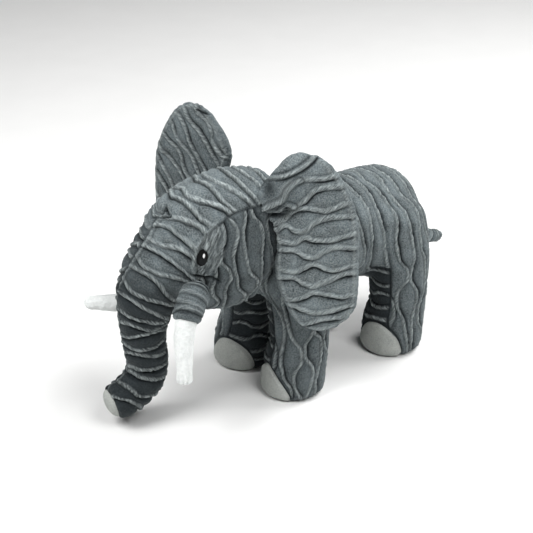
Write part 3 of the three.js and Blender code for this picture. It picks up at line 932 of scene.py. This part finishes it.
def build_head():
    """The cover of the head and the trunk, sewn as one. Gives its smooth surface, for the stitched eyes."""
    obj = fused("head", ["head", "trunk"], GREY, voxel=2.8, soften=10)
    base, outward = surface_of(obj)
    local = to_head(base)
    skull = turned(local, -HEAD_ROLL, "X")
    x, y, z = skull.T
    warp = clouds(base, 20.0, 22) * 1.6 + clouds(base, 7.0, 23) * 0.7
    relief = trunk_rings(obj, base, local, warp)

    # Upright cords on the cheek, behind its seam, and level ones on the back of the head.
    seam_away, _, seam_side = nearest_on(skull[:, [0, 2]], smooth_line(CHEEK_SEAM))
    behind = np.where(seam_side > 0, seam_away, -seam_away)
    on_side = ease(6, 16, np.abs(y))
    on_cheek = ease(-0.8, 0.8, behind) * on_side
    cheek_across = x + 0.12 * z + 2 * bump(z, 30)
    relief.blend(Relief(cord_distance(cheek_across + warp, z, **CORDS["cheek"])), on_cheek)
    back = outward @ head_way([1, 0, 0])
    relief.blend(Relief(cord_distance(z + warp, y, **CORDS["back of the head"])), ease(0.62, 0.72, back))
    # Below the eye's top, the two runs of cords meet without a seam.
    seam_away = np.where(on_side > 0.5, seam_away, FAR) + 30 * ease(20, 14, z)
    relief.seam(seam_away, depth=1.2, width=1.1, painted_hollow_shade=0.6)
    eye_ground(relief, base, skull)
    for pucker in BROW_PUCKER:
        away, _, _ = nearest_on(local, np.array(pucker, dtype=np.float64))
        relief.seam(away, depth=4.5, width=1.2)
    # Painted shade on the cheek, which lies behind the ear.
    relief.painted_shade = np.maximum(relief.painted_shade, 0.45 * on_cheek)

    # Behind the cheek the head is drawn in where the ear hangs over it, and painted shade lies there.
    drawn_in = bump(x - 34, 9) * ease(24, 32, np.abs(y)) * ease(34, 26, z) * ease(-52, -40, z)
    relief.height -= 2.5 * drawn_in
    relief.cord *= 1 - 0.5 * drawn_in
    relief.hollow = np.maximum(relief.hollow, 0.55 * drawn_in)
    relief.build(obj, base, outward)
    ride(obj, ["head", "trunk"])
    return tree_of(obj, base)


HEAD_TREE = build_head()


def build_trunk_tip():
    """The patch is a little smaller than the end it closes, and its sewn edge is not quite round."""
    patch = fused("trunk_tip_patch", ["trunk_tip"], TAUPE, voxel=1.6, soften=6, levels=1)
    base, _ = surface_of(patch)
    middle = base.mean(axis=0)
    onward = head_way([-0.96, 0, -0.27])
    ahead = ((base - middle) @ onward)[:, None] * onward
    narrow = 0.86 + 0.09 * clouds(base, 9.0, 91)
    place(patch.data, from_toy(middle + ahead + (base - middle - ahead) * narrow[:, None]))
    ride(patch, ["trunk_tip"])


build_trunk_tip()

# ---------------------------------------------------------------- eyes


def eye_oval(side, part, out):
    """One flat oval of stitching, laid on the plush from outside, with its edge turned in."""
    oval = EYE_OVALS[part]
    tilt = EYE["tilt"]
    inward = head_way(turned(np.array([0.0, -out, 0.0]), HEAD_ROLL, "X"))
    rings = []
    for share in np.linspace(0.04, 1, 10):
        crown = oval["proud"] - 0.9 * max(0.0, (share - 0.8) / 0.2) ** 2
        points = []
        for turn in np.arange(48) * 2 * math.pi / 48:
            flat_x = math.cos(turn) * oval["half"][0] * share + oval["shift"][0]
            flat_z = math.sin(turn) * oval["half"][1] * share + oval["shift"][1]
            x = EYE["middle"][0] + math.cos(tilt) * flat_x - math.sin(tilt) * flat_z
            z = EYE["middle"][1] + math.sin(tilt) * flat_x + math.cos(tilt) * flat_z
            start = from_head(turned(np.array([x, out * 90, z]), HEAD_ROLL, "X"))
            hit, normal = on_surface(HEAD_TREE, start, inward)
            if hit is None:
                hit, normal = start, -inward
            points.append(hit + normal * crown)
        rings.append(points if out > 0 else points[::-1])
    return closed_sheet(f"{side}_eye_{part}", rings, THREADS[part], oval["thick"] * head_way([0, -out, 0]))


def build_eye(side):
    """Flat satin stitching: a black oval with a charcoal lower half and a white glint."""
    out = {"left": -1, "right": 1}[side]
    for part in EYE_OVALS:
        replaced = [f"{side}_eye"] if part == "black" else []
        ride(eye_oval(side, part, out), replaced)


for side in EARS:
    build_eye(side)

# ---------------------------------------------------------------- ears

# On the left ear's face: the edge of the turned-down top, and the gathered fold at the root, as (out, up).
EAR_TURNDOWN = [(-5, 12), (4, 21), (12, 26), (24, 30), (35, 36), (44, 43), (50, 50)]
EAR_FOLD = [
    (-5, -1), (1, -1), (5, 0), (9, 3), (15, 6), (20, 9), (23, 13), (25, 18), (30, 23), (36, 26),
]
EAR_FOLD_TAIL = [(10, -2), (17, -2), (21, 1), (25, 5), (31, 3)]
EAR_CREASE = [(35, 43), (29, 41.5), (20, 42)]  # the same on the right ear: a crease near its top
EAR_TOP_ENDS = 54  # how far out the turned-down top's edge reaches


def gather_left_ear(relief, flat, front):
    """Turns the ear's top down and gathers its root into one thick fold.

    Gives how far each point moves out of the ear's face by it."""
    u, v = flat.T
    rim, _, rim_side = nearest_on(flat, smooth_line(EAR_TURNDOWN))
    beyond = np.where(rim_side > 0, rim * ease(60, 44, u), 0)
    relief.flatten(ease(0, 2, beyond) * 0.9, 0.2)
    below = np.where((rim_side < 0) & (u < EAR_TOP_ENDS), np.abs(rim - 2.6), FAR)
    relief.seam(only_on(front, below), depth=1.2, width=1.1)
    relief.ridge(only_on(front * (u <= EAR_TOP_ENDS), rim), height=2.4, width=1.3)

    fold, _, _ = nearest_on(flat, smooth_line(EAR_FOLD))
    tail, _, _ = nearest_on(flat, smooth_line(EAR_FOLD_TAIL))
    relief.flatten(np.clip(bump(np.hypot(u - 8, v - 13), 12) * 1.6, 0, 1) * front, 0.0)
    thick = ease(36, 22, u)  # the fold runs out into the second cord
    height, width = mix(1.5, 2.8, thick), mix(1.7, 2.3, thick)
    relief.ridge(only_on(front, fold), height=height, width=width, crease=0.7)
    relief.ridge(only_on(front, tail), height=2.0, width=1.3, crease=0.7)
    # The dents, with painted shade in them: above the fold, under it, and at its sharp bend.
    funnel = bump(np.hypot((u - 10) / 6, (v - 16) / 10), 1.0)
    cavity = bump(np.hypot((u - 13) / 11, (v + 5) / 2.8), 1.0)
    notch = bump(np.hypot((u - 24) / 2.5, (v - 1) / 2.0), 1.0)
    painted_hollow_shade = np.maximum(np.maximum(cavity, notch), 0.8 * funnel)
    relief.hollow = np.maximum(relief.hollow, painted_hollow_shade * front)
    outwards = 5.0 * thick * bump(fold, 3.2) + 2.5 * bump(tail, 2.2) - 5 * funnel - 8 * cavity - 4 * notch
    return outwards * front - 10 * ease(0, 14, beyond)


def build_ear(side):
    """A stuffed pad with cords over its face and its back, and a hem round its face."""
    obj = fused(f"{side}_ear", [f"{side}_ear"], GREY, voxel=2.6, soften=6)
    base, outward = surface_of(obj)
    at, turn = np.array(EARS[side]["at"]), EARS[side]["turn"]
    out_axis = np.array([math.cos(turn), math.sin(turn), 0.0])
    face_axis = np.array([math.sin(turn), -math.cos(turn), 0.0]) * (1 if side == "left" else -1)
    u, v = (base - at) @ out_axis, base[:, 2] - at[2]
    flat = np.stack([u, v], axis=1)
    edge, _, _ = nearest_on(flat, smooth_line(EAR_OUTLINE + EAR_OUTLINE[:1]))
    front = ease(-0.1, 0.3, outward @ face_axis)
    warp = clouds(base, 20.0, 43) * 1.4 + clouds(base, 8.0, 44) * 1.0
    if side == "left":
        cords = laid_distance(v + 0.5 * warp, u, EAR_CORDS, EAR_CORDS_STEP, EAR_CORDS_STEP)
    else:
        across, along = 0.77 * u - 0.63 * v, 0.63 * u + 0.77 * v
        cords = cord_distance(across + warp, along, **CORDS["right ear"])
    relief = Relief(cords, EARS[side]["cord_width"], lower=-1)
    # The hem first, and then what each ear has of its own.
    relief.flatten(ease(3.0, 0.5, edge) * 0.85, 0.6)
    relief.ridge(np.abs(edge - 3.2) + 20 * (1 - front), height=0.9, width=1.2, share=0.7, crease=0.15)
    if side == "left":
        base = base + face_axis * gather_left_ear(relief, flat, front)[:, None]
    else:
        crease, _, _ = nearest_on(flat, smooth_line(EAR_CREASE))
        relief.seam(only_on(front, crease), depth=2.4, width=1.1)
        # Painted shade: the right ear is painted darker all over.
        relief.painted_shade += 0.22
    relief.build(obj, base, outward)
    ride(obj, [f"{side}_ear"])


for side in EARS:
    build_ear(side)

# ---------------------------------------------------------------- tusks, sleeves and tail


def build_sleeve(side, line):
    """The plush sleeve round a tusk's root, with its cords round it."""
    obj = fused(f"{side}_tusk_sleeve", [f"{side}_tusk_sleeve"], GREY, voxel=2.0, soften=6)
    base, outward = surface_of(obj)
    across = length_along(base, line)
    relief = Relief(cord_distance(across, base[:, 1] + 0.3 * base[:, 0], **CORDS["sleeve"]))
    # The sleeve's upper end sinks into the head's plush.
    relief.height = relief.height * 0.4 + 0.7 - 9.0 * ease(20, 5, across)
    relief.cord *= 0.35
    relief.hollow *= 0.8
    # Painted shade: the sleeve is painted darker all over.
    relief.painted_shade += 0.3
    relief.build(obj, base, outward)
    ride(obj, [f"{side}_tusk_sleeve"])


def build_tusk(side, line):
    """The soft white tusk. The seam drawn together at its tip gathers the plush into small folds."""
    obj = fused(f"{side}_tusk", [f"{side}_tusk"], WHITE, voxel=1.6, soften=3)
    base, outward = surface_of(obj)
    from_tip = lengths_of(line)[-1] - length_along(base, line)
    ahead = (line[-1] - line[-2]) / np.linalg.norm(line[-1] - line[-2])
    over = np.cross(ahead, [0.0, 1.0, 0.0])
    turn = np.arctan2((base - line[-1]) @ np.cross(ahead, over), (base - line[-1]) @ over)
    folds = np.cos(9 * turn + 1.5 * clouds(base, 9.0, 73)) * ease(13, 2, from_tip)
    soft = clouds(base, 6.0, 71) * 0.5 + clouds(base, 2.5, 72) * 0.15 + folds * TUSK_GATHERS[side] - 0.4
    place(obj.data, from_toy(base + outward * soft[:, None]))
    ride(obj, [f"{side}_tusk"])


for side in TUSKS:
    tusk_line = smooth_line([TUSKS[side][key] for key in ("root", "mouth", "tip")], 20)
    build_sleeve(side, tusk_line)
    build_tusk(side, tusk_line)


def build_tail():
    """The tail, with its cords round it."""
    obj = fused("tail", ["tail"], GREY, voxel=1.6, soften=6, levels=1)
    base, outward = surface_of(obj)
    across = length_along(base, smooth_line(TAIL_LINE, 12))
    relief = Relief(cord_distance(across, base[:, 1], **CORDS["tail"]))
    relief.build(obj, base, outward)
    ride(obj, ["tail"])


build_tail()

# ---------------------------------------------------------------- stage, light and camera

FLOOR_HALF = 3.0  # metres
# The lens, and where it stands and looks, in toy millimetres.
CAMERA = {"at": (-868.6, -891.7, 721.4), "aim": (-33.87, 35.27, 85.76), "lens": 101.7, "sensor": 36.0}
# Three soft round lamps from above, before the toy, behind it and a weaker one on its left, with their places
# in metres and their power in watts. All look at the toy's middle.
LAMPS = {
    "lamp before": ((-0.944, 0.201, 1.27), 20),
    "lamp behind": ((0.944, -0.201, 1.27), 20),
    "lamp at the side": ((-0.05, -0.96, 1.27), 14),
}
LAMP_AIM = (0, 0, 0.12)
LAMP_SIZE = 0.9


def build_stage():
    """Matt white paper: even and without gloss, with the faintest clouds in its white."""
    paper, tree, shader = new_material("matt white paper", {"Roughness": 0.85, "Specular IOR Level": 0.2})
    where = node(tree, "TexCoord", {}, "Object")
    # The clouds are about 60 mm across.
    shade = node(tree, "TexNoise", {"Vector": where, "Scale": 1000 / 60, "Detail": 2.0}, "Fac")
    whites = {SHARE: shade, FIRST: linear("#f4f4f3"), SECOND: linear("#efefee")}
    colour = node(tree, "Mix", whites, MIXED, data_type="RGBA")
    tree.links.new(colour, shader.inputs["Base Color"])
    corners = [(-1, -1), (1, -1), (1, 1), (-1, 1)]
    mesh = from_arrays("floor", [(FLOOR_HALF * x, FLOOR_HALF * y, 0) for x, y in corners], [(0, 1, 2, 3)])
    new_object("floor", mesh, paper)


def aimed(name, data, at, aim):
    """Sets up a lamp or the camera, looking from one point to another."""
    obj = bpy.data.objects.new(name, data)
    bpy.context.scene.collection.objects.link(obj)
    obj.location = at
    obj.rotation_euler = (Vector(aim) - Vector(at)).to_track_quat("-Z", "Y").to_euler()
    return obj


def build_lamps():
    for name, (at, power) in LAMPS.items():
        lamp = bpy.data.lights.new(name, "AREA")
        lamp.shape = "DISK"
        lamp.size = LAMP_SIZE
        lamp.energy = power
        aimed(name, lamp, at, LAMP_AIM)


def build_room():
    """The room adds little light, but behind the toy it looks as pale as the paper."""
    world = bpy.data.worlds.new("studio")
    world.use_nodes = True
    background = world.node_tree.nodes["Background"]
    background.inputs["Color"].default_value = linear("#ffffff")
    seen = node(world.node_tree, "LightPath", {}, "Is Camera Ray")
    glow = node(world.node_tree, "MapRange", {"Value": seen, "To Min": 0.05, "To Max": 0.85})
    world.node_tree.links.new(glow, background.inputs["Strength"])
    bpy.context.scene.world = world
    bpy.context.scene.view_settings.view_transform = "Standard"


def build_camera():
    lens = bpy.data.cameras.new("camera")
    lens.lens = CAMERA["lens"]
    lens.sensor_width = CAMERA["sensor"]
    lens.clip_end = 20.0
    bpy.context.scene.camera = aimed("camera", lens, from_toy(CAMERA["at"]), from_toy(CAMERA["aim"]))


build_stage()
build_lamps()
build_room()
build_camera()
